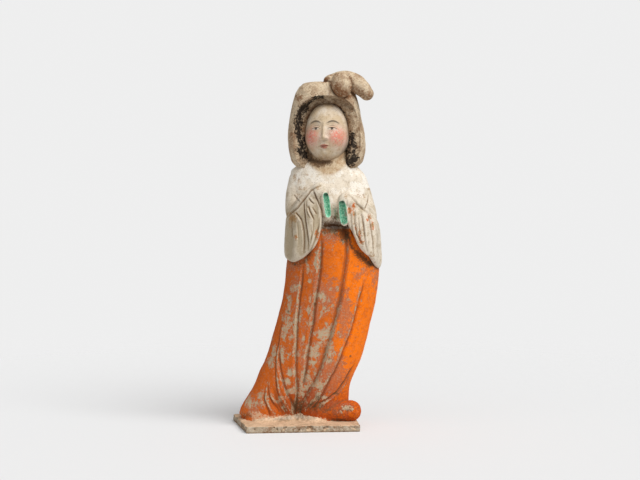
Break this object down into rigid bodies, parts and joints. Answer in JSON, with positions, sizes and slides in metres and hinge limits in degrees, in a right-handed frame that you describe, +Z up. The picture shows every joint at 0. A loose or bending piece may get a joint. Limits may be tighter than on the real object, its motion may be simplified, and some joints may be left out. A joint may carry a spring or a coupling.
{
  "type": "painted pottery tomb figure of a court lady",
  "caption": "Standing court lady in painted pottery on a thin slab: hands raised in wide sleeves, long folded skirt, full bound hair with a knot falling to one side.",
  "frame": {"origin": "middle of the slab's flat underside", "axes": "+Z up; -Y the front, which the figure faces, turned 5 degrees towards its own right; +X towards the figure's own left"},
  "size_m": [0.2963, 0.1666, 0.7058],
  "materials": {
    "painted_pottery": "matt, worn paint over white slip on buff clay"
  },
  "bodies": {
    "root": {"court_lady_figure": "painted_pottery"}
  },
  "joints": []
}
